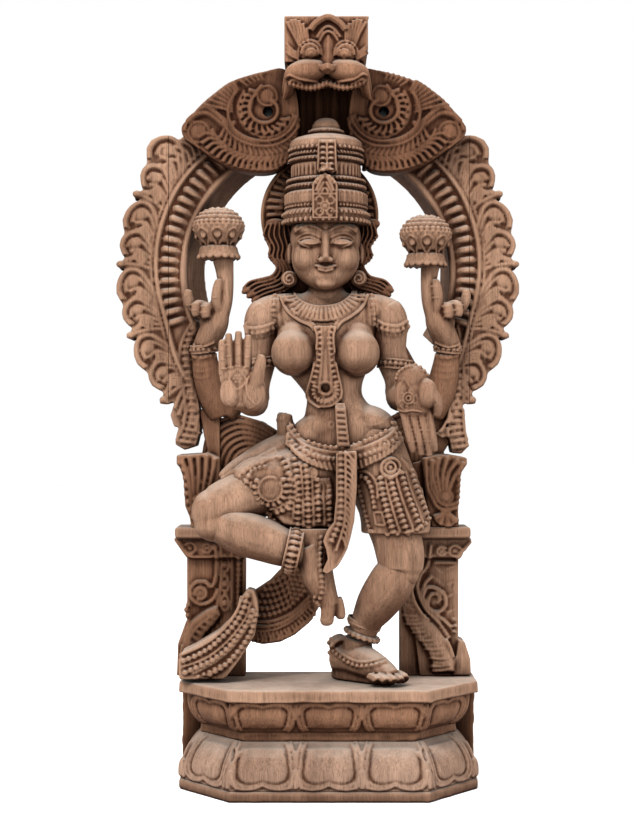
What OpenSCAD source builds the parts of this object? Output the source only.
// Carved wooden goddess on a lotus base under a leafed arch with a lion-face crest.
// Millimetres, +Z up, the figure looks towards -Y. The origin is the middle of the underside.

/* [Base] */
// Width of the base
base_w = 238; // [190:1:300]
// Depth of the base and of the plank it is carved from
base_d = 102; // [85:1:125]
// How far in from each side the two front corners are cut
corner_w = 42; // [25:1:50]
// How far back from the front the two corners are cut
corner_d = 52; // [30:1:60]
// Height of the foot slab
foot_slab_h = 9; // [5:0.5:14]
// Height of the lower lotus course
lower_lotus_h = 35; // [28:1:42]
// Height of the waist between the two lotus courses
waist_h = 7.5; // [5:0.5:14]
// Height of the upper lotus course
upper_lotus_h = 25; // [20:1:32]
// Height of the top slab
top_slab_h = 9.5; // [7:0.5:14]
// How far the waist is set in behind the slabs
waist_inset = 18; // [12:1:22]
// How far the lotus courses are set in at their narrow edge
lotus_inset = 13; // [8:1:16]
// Thickness of the full-width board at the back of the base
back_board_t = 15; // [10:1:20]

/* [Side posts] */
// Width of a post
post_w = 45; // [36:1:50]
// Distance from the middle of the posts to their outer faces
post_out = 107.5; // [98:0.5:112]
// Depth of a post
post_d = 30; // [24:1:40]
// Height of a post up to its cap
post_h = 112; // [95:1:130]
// Height of the cap slab
cap_h = 9; // [6:0.5:12]
// How far the cap slab stands out beyond the post
cap_over = 11; // [6:1:14]
// Height of a shoulder block
shoulder_h = 58; // [45:1:66]
// Width of a shoulder block
shoulder_block_w = 27; // [20:1:34]

/* [Arch] */
// Radius of the rib band's middle line
arch_r = 121; // [112:1:128]
// Height of the arch's centre above the shoulder blocks
arch_rise = 145; // [135:1:160]
// Radius of the arch's inner edge
opening_r = 104; // [98:1:108]
// Depth of the arch
arch_d = 36; // [28:1:44]
// Greatest reach of the leaves from the arch's centre line
leaf_reach = 160; // [150:1:168]
// Half the width of the main plank, where the leaf strips are glued on
plank_half = 120.5; // [114:0.5:124]
// Width of the glue line
glue_gap = 0.2; // [0.1:0.1:0.4]
// Diameter of the dowels in the glue joints
dowel_d = 8; // [6:1:12]
// Length of a dowel
dowel_l = 30; // [20:1:36]
// Clearance around and beyond a dowel
dowel_clear = 0.15; // [0.05:0.05:0.3]

/* [Crest] */
// Width of the mask block
mask_w = 65; // [54:1:72]
// Height of the mask from its teeth to its flat top
mask_h = 58; // [50:1:64]
// Height of the mask's flat top above the arch's centre
crest_rise = 195; // [185:1:210]
// How far the mask block reaches forward of the middle plane
mask_front = 48; // [40:1:50]
// Diameter of the hanging hole drilled through each scroll wing
hang_hole_d = 8; // [5:0.5:10]
// Distance between the two hanging holes
hang_spacing = 92; // [84:1:100]

/* [Figure] */
// Height of the hip joints above the base
leg_h = 172; // [165:1:178]
// Height of the shoulders above the hips
trunk_h = 125; // [120:1:130]
// Distance between the shoulder joints
shoulder_span = 96; // [88:1:104]
// Height of the face from chin to crown rim
face_h = 53; // [48:1:56]
// Width of the head
head_w = 54; // [48:1:60]
// Radius of the crown's rim
crown_r = 34; // [30:1:37]
// Height of the crown
crown_h = 84; // [74:1:92]
// Half the width of the ribbed halo
halo_half_w = 47; // [42:1:52]
// Thickness of the halo
halo_t = 10; // [7:1:14]
// Diameter of the blind hole drilled in the pendant
pendant_hole_d = 8; // [5:0.5:10]
// Radius of a raised lotus bud at its rim
bud_r = 21; // [18:0.5:24]
// Fineness of the rounded limbs
limb_fn = 14; // [12:2:20]

/* [Hidden] */
$fn = 64;

// The arch, the posts and the crest are each carved a little off the base's middle.
post_x = -4.5;
arch_x = -7.5;
fig_x = -2;

// Colours of the timber
wood = "#8f6c55";
dark_wood = "#5c4032";
pale_wood = "#a98a74";
dowel_wood = "#b89468";

// Depth of the pieces, from front (-) to back (+)
front_y = -base_d / 2;
back_y = base_d / 2;
post_y = back_y - post_d;
arch_y = back_y - arch_d;

// Heights of the base's courses
lower_lotus_z = foot_slab_h;
waist_z = lower_lotus_z + lower_lotus_h;
upper_lotus_z = waist_z + waist_h;
top_slab_z = upper_lotus_z + upper_lotus_h;
base_h = top_slab_z + top_slab_h;

// Heights of the side posts and the arch
cap_z = base_h + post_h;
shoulder_z0 = cap_z + cap_h;
shoulder_z1 = shoulder_z0 + shoulder_h;
arch_z = shoulder_z1 + arch_rise;
statue_h = arch_z + crest_rise;

// Heights on the figure
hip_z = base_h + leg_h;
shoulder_z = hip_z + trunk_h;
chin_z = shoulder_z + 11;
rim_z = chin_z + face_h;
crown_top_z = rim_z + crown_h;
nav_z = hip_z + 57;
bust_z = shoulder_z - 34.5;
half_span = shoulder_span / 2;

// Skeleton of the figure: [x, y, z, radius], left and right as the viewer sees them
raised_knee = [-92, -14, hip_z - 33, 18];
raised_ankle = [-31, -20, hip_z - 58, 14];
standing_knee = [50, -22, base_h + 88, 20];
standing_ankle = [28, 2, base_h + 43, 11.5];
wrist_back_left = [-98, 14, shoulder_z - 34, 10.5];
wrist_back_right = [91, 14, shoulder_z - 34, 10.5];
elbow_back_left = [-86, 26, shoulder_z - 86, 12];
elbow_back_right = [84, 26, shoulder_z - 86, 12];
elbow_front_left = [-58, 2, shoulder_z - 76, 11.5];
elbow_front_right = [56, 2, shoulder_z - 72, 11.5];
palm_left = [-68, -38, shoulder_z - 56];
palm_right = [66, -38, shoulder_z - 60];
bud_left = [-87.5, 8, shoulder_z + 65];
bud_right = [77.5, 8, shoulder_z + 59];

// ---------- helpers ----------

// Point at t between b and c on a smooth curve that passes a, b, c and d
function curve_point(a, b, c, d, t) =
    0.5 * (2 * b + (c - a) * t + (2 * a - 5 * b + 4 * c - d) * t * t
        + (3 * b - a - 3 * c + d) * t * t * t);

// Open smooth path through points
function open_path(p, steps) = [
    for (i = [0:len(p) - 2], k = [0:steps - 1])
        curve_point(p[max(i - 1, 0)], p[i], p[i + 1], p[min(i + 2, len(p) - 1)], k / steps),
    p[len(p) - 1]
];

// Closed smooth outline through points
function ring_path(p, steps) = [
    for (i = [0:len(p) - 1], k = [0:steps - 1])
        let (n = len(p))
        curve_point(p[(i + n - 1) % n], p[i], p[(i + 1) % n], p[(i + 2) % n], k / steps)
];

// Points of an arc around c, as [x, z] pairs
function arc(c, r, a0, a1, n) = [
    for (i = [0:n]) let (a = a0 + (a1 - a0) * i / n) [c[0] + r * cos(a), c[1] + r * sin(a)]
];

module ball(p) {
    translate([p[0], p[1], p[2]]) sphere(r = p[3], $fn = limb_fn);
}

// Rounded limb of changing thickness through [x, y, z, radius] points
module limb(points, steps = 4) {
    path = open_path(points, steps);
    for (i = [0:len(path) - 2]) hull() {
        ball(path[i]);
        ball(path[i + 1]);
    }
}

// Upright plate: a drawing in the XZ plane given thickness from y0 to y1
module plate(y0, y1) {
    translate([0, y1, 0]) rotate([90, 0, 0]) linear_extrude(height = y1 - y0) children();
}

// Rod along X, Y or Z
module rod_x(d, l) {
    rotate([0, 90, 0]) cylinder(d = d, h = l, center = true);
}

module rod_y(d, y0, y1) {
    translate([0, y1, 0]) rotate([90, 0, 0]) cylinder(d = d, h = y1 - y0);
}

// ---------- base ----------

// Plan of the base with its two sloping front corners
module base_plan(inset = 0) {
    w = base_w / 2 - inset;
    f = front_y + inset;
    x = w - corner_w + inset * 0.4;
    y = f + corner_d - inset * 0.4;
    polygon([[-w, back_y], [-w, y], [-x, f], [x, f], [w, y], [w, back_y]]);
}

// Part of a plan that lies in front of the back board
module before_back_board() {
    intersection() {
        children();
        translate([-base_w, -base_d]) square([2 * base_w, base_d + back_y - back_board_t]);
    }
}

// Course of the base whose plan changes from one inset to another
module course(z, h, inset_low, inset_high) {
    hull() {
        translate([0, 0, z])
            linear_extrude(height = h / 4) before_back_board() base_plan(inset_low);
        translate([0, 0, z + h * 3 / 4])
            linear_extrude(height = h / 4) before_back_board() base_plan(inset_high);
    }
}

module foot_slab() {
    color(pale_wood) linear_extrude(height = foot_slab_h) base_plan();
}

module lower_lotus() {
    color(pale_wood) course(lower_lotus_z, lower_lotus_h, 1, lotus_inset);
}

module base_waist() {
    color(wood) translate([0, 0, waist_z])
        linear_extrude(height = waist_h) before_back_board() base_plan(waist_inset);
}

module upper_lotus() {
    color(wood) course(upper_lotus_z, upper_lotus_h, lotus_inset, lotus_inset / 2);
}

module top_slab() {
    color(pale_wood) translate([0, 0, top_slab_z])
        linear_extrude(height = top_slab_h) base_plan();
}

module base_back() {
    color(dark_wood) translate([-base_w / 2, back_y - back_board_t, foot_slab_h])
        cube([base_w, back_board_t, top_slab_z - foot_slab_h]);
}

// ---------- side posts ----------

// Outline of the right-hand post: flared foot, straight shaft, capital that swells to the cap
module post_outline() {
    foot_out = 9;
    foot_h = 45;
    capital_h = 22;
    polygon(concat(
        [[post_out - post_w, 0], [post_out + foot_out, 0], [post_out + foot_out, foot_h * 0.35]],
        arc([post_out + foot_out, foot_h], foot_out, 250, 180, 4),
        [[post_out, post_h - capital_h]],
        arc([post_out, post_h], capital_h / 2, 270, 360, 5),
        [[post_out - post_w, post_h]]
    ));
}

module post(side) {
    translate([post_x, 0, base_h]) mirror([side < 0 ? 1 : 0, 0, 0])
        plate(post_y, back_y) post_outline();
}

module post_left() { color(wood) post(-1); }

module post_right() { color(wood) post(1); }

module post_cap(side) {
    depth = post_d + cap_over;
    translate([post_x, 0, cap_z]) mirror([side < 0 ? 1 : 0, 0, 0])
        translate([post_out - post_w, back_y - depth, 0])
            cube([post_w + cap_over, depth, cap_h]);
}

module post_cap_left() { color(wood) post_cap(-1); }

module post_cap_right() { color(wood) post_cap(1); }

// Leaf-carved block between the cap and the arch, wider at its top
module shoulder_block(side) {
    out = post_out + 1;
    lip = 8;
    translate([post_x, 0, shoulder_z0]) mirror([side < 0 ? 1 : 0, 0, 0])
        plate(arch_y, back_y) polygon([
            [out - shoulder_block_w, 0], [out - 5, 0], [out, shoulder_h * 0.2],
            [out, shoulder_h * 0.7], [out + lip, shoulder_h * 0.88],
            [out + lip, shoulder_h], [out - shoulder_block_w, shoulder_h]
        ]);
}

module shoulder_block_left() { color(wood) shoulder_block(-1); }

module shoulder_block_right() { color(wood) shoulder_block(1); }

// ---------- arch ----------

// Everything below is drawn for the right-hand side, around the arch's centre.
foot_drop = arch_rise;
leaf_bud_r = 6;
bud_out = 2;
bud_angles = [25, 3, -17, -36];

// Leaf lobes from the top down: [angle, how far beyond leaf_reach, radius]
lobes = [
    [45, -7, 14], [38, 10, 13], [32, 0, 15], [18, 0, 22], [10, 0, 22], [-3, 0, 22],
    [-10, 0, 22], [-23, 2, 20], [-30, 2, 18], [-42, 4, 14], [-49, 11, 8]
];

// Inner edge of the arch, from the crown down to the foot
inner_edge = concat(
    arc([0, 0], opening_r, 62, -12, 12),
    [[opening_r - 4, -foot_drop * 0.5], [opening_r - 6, -foot_drop * 0.8],
     [opening_r - 4, -foot_drop]]
);

// Round leaf lobe at an angle, reaching out to leaf_reach
module lobe(angle, reach, r) {
    rotate(angle) translate([reach - r, 0]) circle(r = r);
}

// Outline of arch and leaves together
module arch_outline() {
    difference() {
        union() {
            polygon(concat(
                inner_edge,
                [[opening_r + 8, -foot_drop], [opening_r + 12, -foot_drop * 0.85]],
                [for (a = [-48:6:60]) [(leaf_reach - 10) * cos(a), (leaf_reach - 10) * sin(a)]]
            ));
            for (l = lobes) lobe(l[0], leaf_reach + l[1], l[2]);
            for (a = bud_angles) lobe(a, leaf_reach + bud_out, leaf_bud_r);
        }
        circle(r = opening_r - 0.5);
    }
}

// Part of the arch inside or outside the glue line
module plank_side() {
    translate([0, -2 * arch_r]) square([plank_half - glue_gap / 2, 4 * arch_r]);
}

module strip_side() {
    translate([plank_half + glue_gap / 2, -2 * arch_r]) square([arch_r, 4 * arch_r]);
}

module arch_side(side) {
    translate([arch_x, 0, arch_z]) mirror([side < 0 ? 1 : 0, 0, 0]) children();
}

// Heights of the two dowels in each glue joint, from the arch's centre
dowel_heights = [-45, 42];

module glue_dowels(extra = 0) {
    for (h = dowel_heights)
        translate([plank_half, (arch_y + back_y) / 2 + 6, h])
            rod_x(dowel_d + 2 * extra, dowel_l + 2 * extra);
}

module arch_half(side) {
    difference() {
        arch_side(side) difference() {
            plate(arch_y, back_y) intersection() {
                arch_outline();
                plank_side();
            }
            glue_dowels(dowel_clear);
        }
        wing_block(side);
    }
}

module arch_left() { color(wood) arch_half(-1); }

module arch_right() { color(wood) arch_half(1); }

module leaf_strip(side) {
    arch_side(side) difference() {
        plate(arch_y, back_y) intersection() {
            arch_outline();
            strip_side();
        }
        glue_dowels(dowel_clear);
    }
}

module leaf_strip_left() { color(wood) leaf_strip(-1); }

module leaf_strip_right() { color(wood) leaf_strip(1); }

module strip_dowels() {
    color(dowel_wood) {
        arch_side(-1) glue_dowels();
        arch_side(1) glue_dowels();
    }
}

// ---------- crest ----------

wing_y = arch_y - 18;
mask_z = statue_h - mask_h;
wing_z = mask_z - 10;

// Outline of the right-hand scroll wing, from the middle of the hanging hole
module wing_outline() {
    polygon(ring_path([
        [-15, 33], [6, 30], [24, 23], [42, 12], [58, 1], [66, -9], [63, -20], [54, -26],
        [42, -38], [26, -46], [6, -49], [-14, -46], [-23, -32], [-28, -8], [-25, 18]
    ], 4));
}

// The wing as a plain block, also used to cut its neighbours
module wing_block(side) {
    translate([fig_x, 0, wing_z]) mirror([side < 0 ? 1 : 0, 0, 0])
        translate([hang_spacing / 2, 0, 0]) plate(wing_y, back_y) wing_outline();
}

module hang_hole(side) {
    translate([fig_x + side * hang_spacing / 2, 0, wing_z])
        rod_y(hang_hole_d, wing_y - 1, back_y + 1);
}

module scroll_wing(side) {
    difference() {
        wing_block(side);
        hang_hole(side);
    }
}

module scroll_wing_left() { color(dark_wood) scroll_wing(-1); }

module scroll_wing_right() { color(dark_wood) scroll_wing(1); }

board_t = 16;

// Board that joins the wings behind the mask
module crown_board() {
    half = mask_w / 2 - 3;
    color(dark_wood) difference() {
        translate([fig_x - half, back_y - board_t, wing_z - 38])
            cube([2 * half, board_t, statue_h - 22 - (wing_z - 38)]);
        wing_block(-1);
        wing_block(1);
        mask_pins(dowel_clear);
    }
}

module mask_pins(extra = 0) {
    for (s = [-1, 1])
        translate([fig_x + s * 14, 0, statue_h - 34])
            rod_y(dowel_d + 2 * extra, back_y - board_t - 14 - extra, back_y - 4 + extra);
}

module mask_dowels() { color(dowel_wood) mask_pins(); }

// Lion-face block: squared brow, two round cheeks, nose and a scalloped upper lip
module mask() {
    brow_h = 34;
    cheek_r = 16;
    color(wood) difference() {
        union() {
            translate([fig_x - mask_w / 2, 6 - mask_front, statue_h - brow_h])
                cube([mask_w, mask_front - 6 + back_y - board_t, brow_h]);
            for (s = [-1, 1]) translate([fig_x + s * 15, 0, mask_z + 20])
                rod_y(2 * cheek_r, -mask_front, back_y - board_t);
            translate([fig_x, 0, mask_z + 24]) rod_y(16, -mask_front - 2, 0);
            translate([fig_x - 26, 4 - mask_front, mask_z]) cube([52, 20, 12]);
        }
        mask_pins(dowel_clear);
        wing_block(-1);
        wing_block(1);
    }
}

// ---------- figure: trunk and head ----------

module trunk_raw() {
    limb([
        [fig_x + 10, 0, hip_z + 12, 31], [fig_x + 14, -2, nav_z - 20, 30],
        [fig_x + 5, 0, nav_z, 20], [fig_x, 0, bust_z - 6, 24],
        [fig_x, 3, shoulder_z - 12, 24]
    ], 3);
    limb([
        [fig_x - half_span, 4, shoulder_z - 2, 13], [fig_x, 4, shoulder_z, 16],
        [fig_x + half_span, 4, shoulder_z - 2, 13]
    ], 2);
    limb([[fig_x, 2, shoulder_z, 15], [fig_x, -2, chin_z + 8, 12]], 1);
}

module bust_raw() {
    for (s = [-1, 1]) ball([fig_x - 0.5 + s * 24.5, -21, bust_z, 17.5]);
}

module torso() {
    color(pale_wood) {
        trunk_raw();
        bust_raw();
    }
}

module head_raw() {
    limb([
        [fig_x, -4, rim_z - 14, head_w / 2], [fig_x, -7, chin_z + 25, head_w / 2 - 2],
        [fig_x, -14, chin_z + 13, 12.5]
    ], 3);
}

module above(z) {
    translate([-300, -300, z]) cube([600, 600, 600]);
}

module head() {
    color(wood) difference() {
        head_raw();
        trunk_raw();
        above(rim_z);
    }
}

// Half profile of the crown, as [radius, height] from its rim
crown_profile = [
    [0, 0], [crown_r, 0], [crown_r, 9], [crown_r - 3, 11], [crown_r - 2.5, 20],
    [crown_r - 4, 27], [crown_r - 3, 31], [crown_r - 7, 33], [crown_r - 7, 42],
    [crown_r - 5, 45], [crown_r - 5, 53], [crown_r - 8, 60], [crown_r - 15, 67],
    [crown_r - 21, 70], [crown_r - 22, crown_h - 7], [crown_r - 27, crown_h], [0, crown_h]
];

module crown_raw() {
    translate([fig_x, -4, rim_z]) rotate_extrude() polygon(crown_profile);
}

module crown() {
    color(wood) crown_raw();
}

module crown_plaque() {
    color(pale_wood) difference() {
        translate([fig_x, 0, rim_z + 4]) plate(-4 - crown_r - 2, -4 - crown_r + 8) polygon([
            [-11, 0], [11, 0], [11, 32], [8, 40], [8, 54], [0, 60], [-8, 54], [-8, 40], [-11, 32]
        ]);
        crown_raw();
    }
}

halo_y = 14;
halo_z = rim_z + 4;

module halo() {
    color(dark_wood) difference() {
        translate([fig_x - 5, 0, halo_z]) plate(halo_y, halo_y + halo_t)
            polygon([for (a = [0:7.5:352.5]) [halo_half_w * cos(a), halo_half_w * 1.16 * sin(a)]]);
        crown_raw();
        translate([fig_x, 0, rim_z - 60]) cylinder(r = head_w / 2 + 5, h = 60);
    }
}

module hair_raw(side) {
    limb([
        [fig_x + side * 29, 6, rim_z - 8, 8], [fig_x + side * 30, 8, rim_z - 32, 8],
        [fig_x + side * 40, 9, shoulder_z + 17, 9], [fig_x + side * 54 - 3, 9, shoulder_z + 12, 8]
    ], 3);
}

module hair(side) {
    difference() {
        hair_raw(side);
        head_raw();
        trunk_raw();
        crown_raw();
        plate(halo_y, halo_y + halo_t) translate([fig_x - 80, rim_z - 60]) square([160, 200]);
    }
}

module hair_left() { color(dark_wood) hair(-1); }

module hair_right() { color(dark_wood) hair(1); }

module earrings() {
    color(wood) for (s = [-1, 1])
        difference() {
            translate([fig_x + s * 29, 0, chin_z + 9]) rod_y(12, -12, 2);
            hair_raw(s);
            head_raw();
        }
}

// ---------- figure: ornaments on the trunk ----------

module necklace() {
    color(pale_wood) difference() {
        translate([fig_x, 0, shoulder_z + 2]) plate(-27, -6) difference() {
            intersection() {
                circle(r = 33);
                translate([-40, -40]) square([80, 44]);
            }
            circle(r = 13);
        }
        trunk_raw();
        bust_raw();
        head_raw();
    }
}

module pendant() {
    top = shoulder_z - 34;
    low = nav_z - 6;
    color(pale_wood) difference() {
        translate([fig_x, 0, 0]) plate(-31, -12) polygon(concat(
            [[-6, top + 4], [-7, top - 10]],
            arc([0, low + 14], 13, 160, 380, 10),
            [[7, top - 10], [6, top + 4]]
        ));
        trunk_raw();
        bust_raw();
        translate([fig_x, 0, low + 20]) rod_y(pendant_hole_d, -40, -20);
    }
}

module belt_raw() {
    limb([
        [fig_x - 24, -4, hip_z + 34, 9], [fig_x - 12, -22, hip_z + 18, 9],
        [fig_x + 12, -28, hip_z + 10, 9], [fig_x + 34, -22, hip_z + 18, 9],
        [fig_x + 52, -4, hip_z + 30, 9]
    ], 3);
}

module hip_belt() {
    color(wood) difference() {
        belt_raw();
        trunk_raw();
    }
}

// ---------- figure: legs ----------

module raised_thigh_raw() {
    limb([
        [fig_x - 6, 0, hip_z, 27], [fig_x - 48, -8, hip_z - 16, 25],
        [raised_knee[0], raised_knee[1], raised_knee[2], raised_knee[3]]
    ]);
}

module raised_thigh() {
    color(pale_wood) difference() {
        raised_thigh_raw();
        trunk_raw();
    }
}

module hanging_shin_raw() {
    limb([
        [raised_knee[0] + 6, raised_knee[1] - 10, raised_knee[2] - 8, 15],
        [-64, -24, hip_z - 43, 17], raised_ankle
    ]);
}

module hanging_shin() {
    color(pale_wood) difference() {
        hanging_shin_raw();
        raised_thigh_raw();
    }
}

module hanging_foot_raw() {
    limb([
        [raised_ankle[0] + 16, -22, raised_ankle[2] + 1, 14],
        [raised_ankle[0] + 24, -26, raised_ankle[2] - 30, 10],
        [raised_ankle[0] + 30, -28, raised_ankle[2] - 58, 7]
    ]);
}

module hanging_foot() {
    color(pale_wood) difference() {
        hanging_foot_raw();
        hanging_shin_raw();
        raised_thigh_raw();
        trunk_raw();
    }
}

module standing_thigh_raw() {
    limb([
        [fig_x + 32, 0, hip_z, 25], [fig_x + 50, -10, hip_z - 42, 22], standing_knee
    ]);
}

module standing_thigh() {
    color(pale_wood) difference() {
        standing_thigh_raw();
        trunk_raw();
        raised_thigh_raw();
    }
}

module standing_shin_raw() {
    limb([
        [standing_knee[0] - 6, standing_knee[1] + 2, standing_knee[2] - 12, 21],
        [38, -8, base_h + 60, 17], standing_ankle
    ]);
}

module standing_shin() {
    color(pale_wood) difference() {
        standing_shin_raw();
        standing_thigh_raw();
    }
}

// The sole is flat on the base
module standing_foot_raw() {
    intersection() {
        limb([
            [8, 30, base_h + 12, 13], [26, 4, base_h + 22, 15], [50, -30, base_h + 7, 11]
        ]);
        translate([-100, -100, base_h]) cube([200, 200, 60]);
    }
}

module standing_foot() {
    color(pale_wood) difference() {
        standing_foot_raw();
        standing_shin_raw();
    }
}

// Ring band around a limb, given by a point and the direction of the limb
module band(at, turn, r, h) {
    translate(at) rotate(turn) cylinder(r = r, h = h, center = true, $fn = 24);
}

module raised_anklet_raw() {
    band([raised_ankle[0] + 4, raised_ankle[1], raised_ankle[2]], [0, 75, 0], 17, 11);
}

module anklets() {
    color(wood) {
        difference() {
            raised_anklet_raw();
            hanging_shin_raw();
            hanging_foot_raw();
            raised_thigh_raw();
        }
        difference() {
            band([29, 0, base_h + 44], [0, 20, 0], 15.5, 13);
            standing_shin_raw();
            standing_foot_raw();
        }
    }
}

// ---------- figure: drapery ----------

module skirt_raw(side) {
    if (side < 0) {
        limb([
            [fig_x - 14, -4, hip_z + 6, 31], [fig_x - 46, -10, hip_z - 9, 29],
            [fig_x - 70, -12, hip_z - 14, 20]
        ], 4);
        limb([
            [fig_x - 24, -12, hip_z - 6, 24], [fig_x - 4, -12, hip_z - 30, 20],
            [fig_x + 12, -10, hip_z - 52, 14]
        ], 2);
    } else {
        limb([
            [fig_x + 38, -4, hip_z + 4, 30], [fig_x + 52, -12, hip_z - 20, 27],
            [fig_x + 58, -14, hip_z - 38, 25]
        ], 4);
    }
}

module skirt_left() {
    color(wood) difference() {
        skirt_raw(-1);
        trunk_raw();
        raised_thigh_raw();
        hanging_shin_raw();
        standing_thigh_raw();
        belt_raw();
        hanging_foot_raw();
        sash_block();
        raised_anklet_raw();
    }
}

module skirt_right() {
    color(wood) difference() {
        skirt_raw(1);
        trunk_raw();
        standing_thigh_raw();
        raised_thigh_raw();
        belt_raw();
        sash_block();
    }
}

// Centre sash: a strip that hangs from the belt and curls to the left at its end
module sash_block() {
    plate(-44, -30) translate([fig_x, 0]) polygon(concat(
        [[9, hip_z + 6], [9, hip_z - 44], [4, hip_z - 70]],
        [[12, hip_z - 74], [20, hip_z - 52], [25, hip_z - 30], [25, hip_z + 6]]
    ));
}

module centre_sash() {
    color(wood) difference() {
        sash_block();
        belt_raw();
        hanging_foot_raw();
    }
}

// Beaded tail that sweeps from behind the legs to the base's left corner
module sash_tail_raw() {
    translate([0, 0, base_h]) plate(-16, 10) polygon(ring_path([
        [-60, 72], [-66, 58], [-78, 40], [-95, 28], [-114, 21], [-117, 4], [-112, -2],
        [-84, -2], [-72, 12], [-61, 30], [-54, 52]
    ], 4));
}

module sash_tail() {
    color(wood) difference() {
        sash_tail_raw();
        translate([-300, -300, base_h - 100]) cube([600, 600, 100]);
        post(-1);
        beyond_base_side();
    }
}

// Everything beyond the base's left side
module beyond_base_side() {
    translate([-base_w / 2 - 100, -100, 0]) cube([100, 200, 300]);
}

module back_drape() {
    color(dark_wood) difference() {
        translate([0, 0, base_h]) plate(8, 24) polygon(ring_path([
            [-62, 72], [-40, 92], [-16, 100], [-5, 74], [-14, 54], [-34, 36], [-62, 33]
        ], 4));
        sash_tail_raw();
        hanging_foot_raw();
        hanging_shin_raw();
        raised_thigh_raw();
        post(-1);
    }
}

// Scarves that tie the hips to the shoulder blocks and the arch
module scarf(side, reach) {
    difference() {
        plate(arch_y + 6, back_y - 6) polygon([
            [fig_x + side * 20, hip_z - 8], [fig_x + side * reach, hip_z - 10],
            [fig_x + side * reach, hip_z + 22], [fig_x + side * 60, hip_z + 40],
            [fig_x + side * 24, hip_z + 36]
        ]);
        trunk_raw();
        if (side < 0) raised_thigh_raw();
        if (side > 0) standing_thigh_raw();
        shoulder_block(side);
        arch_half(side);
        back_arm_raw(side);
        skirt_raw(side);
    }
}

module scarf_left() { color(dark_wood) scarf(-1, 98); }

module scarf_right() { color(dark_wood) scarf(1, 88); }

// ---------- figure: arms ----------

module back_arm_raw(side) {
    elbow = side < 0 ? elbow_back_left : elbow_back_right;
    wrist = side < 0 ? wrist_back_left : wrist_back_right;
    limb([
        [fig_x + side * (half_span - 8), 24, shoulder_z - 14, 12],
        [fig_x + side * (half_span + 16), 30, shoulder_z - 54, 12],
        elbow, wrist
    ], 4);
}

module back_arm(side) {
    difference() {
        back_arm_raw(side);
        trunk_raw();
        front_arm_raw(side);
        arch_half(side);
    }
}

module back_arm_left() { color(dark_wood) back_arm(-1); }

module back_arm_right() { color(dark_wood) back_arm(1); }

module raised_hand_raw(side) {
    wrist = side < 0 ? wrist_back_left : wrist_back_right;
    limb([
        [wrist[0], wrist[1] - 2, wrist[2] + 10, 10],
        [wrist[0] - side * 3, wrist[1] - 6, wrist[2] + 30, 12],
        [wrist[0] - side * 2, wrist[1] - 6, wrist[2] + 42, 9]
    ]);
}

module stem_raw(side) {
    wrist = side < 0 ? wrist_back_left : wrist_back_right;
    bud = side < 0 ? bud_left : bud_right;
    limb([
        [wrist[0] - side * 8, wrist[1] - 6, wrist[2] + 32, 7],
        [bud[0] - side * 2, bud[1] - 2, bud[2] - 46, 7.5],
        [bud[0], bud[1], bud[2] - 24, 8.5]
    ], 3);
}

module raised_hand(side) {
    difference() {
        union() {
            raised_hand_raw(side);
            stem_raw(side);
        }
        back_arm_raw(side);
        arch_half(side);
        leaf_strip(side);
        bud_raw(side);
    }
}

module raised_hand_left() { color(wood) raised_hand(-1); }

module raised_hand_right() { color(wood) raised_hand(1); }

// Half profile of a lotus bud on its drooping collar, from the collar's lower rim
bud_profile = [
    [0, 0], [bud_r - 4, 0], [bud_r - 6, 6], [bud_r - 11, 10.5], [bud_r - 7, 15],
    [bud_r - 2, 23], [bud_r, 28], [bud_r - 2, 33], [bud_r - 8, 39], [0, 42]
];

module bud_raw(side) {
    bud = side < 0 ? bud_left : bud_right;
    translate([bud[0], bud[1], bud[2] - 28]) rotate_extrude() polygon(bud_profile);
}

module lotus(side) {
    difference() {
        bud_raw(side);
        arch_half(side);
    }
}

module lotus_left() { color(pale_wood) lotus(-1); }

module lotus_right() { color(pale_wood) lotus(1); }

module front_arm_raw(side) {
    elbow = side < 0 ? elbow_front_left : elbow_front_right;
    palm = side < 0 ? palm_left : palm_right;
    limb([
        [fig_x + side * half_span, 2, shoulder_z - 4, 14],
        [fig_x + side * (half_span + 3), 2, shoulder_z - 36, 12.5],
        elbow, [palm[0], palm[1] + 14, elbow[2] + 6, 10.5]
    ], 4);
}

module front_arm(side) {
    difference() {
        front_arm_raw(side);
        trunk_raw();
        bust_raw();
        if (side < 0) blessing_raw();
        if (side > 0) giving_raw();
    }
}

module front_arm_left() { color(wood) front_arm(-1); }

module front_arm_right() { color(wood) front_arm(1); }

// Hand raised with its palm to the viewer: heel, palm, four fingers, thumb
module blessing_raw() {
    x = palm_left[0];
    y = palm_left[1];
    z = palm_left[2];
    hull() {
        ball([x + 2, y, z - 14, 10]);
        ball([x - 7, y, z + 12, 8]);
        ball([x + 7, y, z + 12, 8]);
    }
    for (i = [0:3]) hull() {
        ball([x - 11 + i * 7, y, z + 12, 5]);
        ball([x - 11 + i * 7, y - 3, z + 34 - abs(i - 1.6) * 3, 4]);
    }
    hull() {
        ball([x + 10, y - 2, z, 6]);
        ball([x + 14, y - 4, z + 22, 4]);
    }
}

module blessing_hand() { color(pale_wood) blessing_raw(); }

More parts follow.
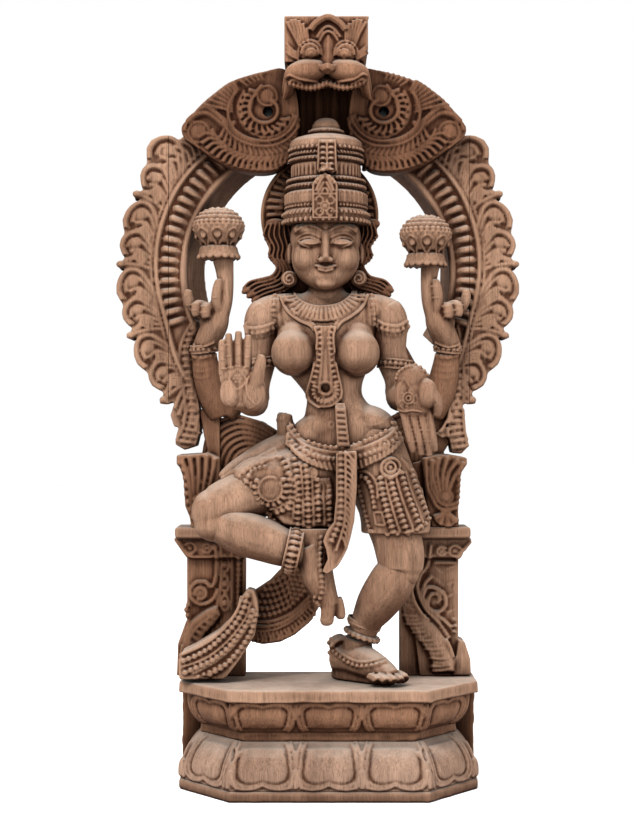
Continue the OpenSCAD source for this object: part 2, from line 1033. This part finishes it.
// Hand that hangs open with its palm to the viewer
module giving_raw() {
    x = palm_right[0];
    y = palm_right[1];
    z = palm_right[2];
    hull() {
        ball([x, y, z + 12, 12]);
        ball([x - 6, y, z - 8, 10]);
        ball([x + 9, y, z - 8, 9]);
    }
    for (i = [0:3]) hull() {
        ball([x - 8 + i * 7, y, z - 10, 5]);
        ball([x + 2 + i * 6, y, z - 44 - abs(i - 1) * -2, 3.8]);
    }
    hull() {
        ball([x + 12, y, z + 2, 6]);
        ball([x + 21, y - 2, z - 16, 4]);
    }
}

module giving_hand() { color(pale_wood) giving_raw(); }

module armlets() {
    color(wood) for (s = [-1, 1]) difference() {
        band([fig_x + s * (half_span + 4), 2, shoulder_z - 32], [0, 4 * s, 0], 15.5, 10);
        front_arm_raw(s);
        bust_raw();
        back_arm_raw(s);
        trunk_raw();
        if (s < 0) blessing_raw();
        if (s > 0) giving_raw();
    }
}

module bracelets() {
    color(wood) for (s = [-1, 1]) {
        wrist = s < 0 ? wrist_back_left : wrist_back_right;
        difference() {
            band([wrist[0], wrist[1], wrist[2] + 2], [0, 0, 0], 13, 8);
            back_arm_raw(s);
            raised_hand_raw(s);
            arch_half(s);
        }
    }
}

foot_slab();
lower_lotus();
base_waist();
upper_lotus();
top_slab();
base_back();
post_left();
post_right();
post_cap_left();
post_cap_right();
shoulder_block_left();
shoulder_block_right();
arch_left();
arch_right();
leaf_strip_left();
leaf_strip_right();
scroll_wing_left();
scroll_wing_right();
crown_board();
mask();
strip_dowels();
mask_dowels();
torso();
head();
crown();
crown_plaque();
halo();
hair_left();
hair_right();
earrings();
necklace();
pendant();
hip_belt();
skirt_left();
skirt_right();
centre_sash();
sash_tail();
back_drape();
scarf_left();
scarf_right();
back_arm_left();
back_arm_right();
raised_hand_left();
raised_hand_right();
lotus_left();
lotus_right();
front_arm_left();
front_arm_right();
blessing_hand();
giving_hand();
armlets();
bracelets();
raised_thigh();
hanging_shin();
hanging_foot();
standing_thigh();
standing_shin();
standing_foot();
anklets();
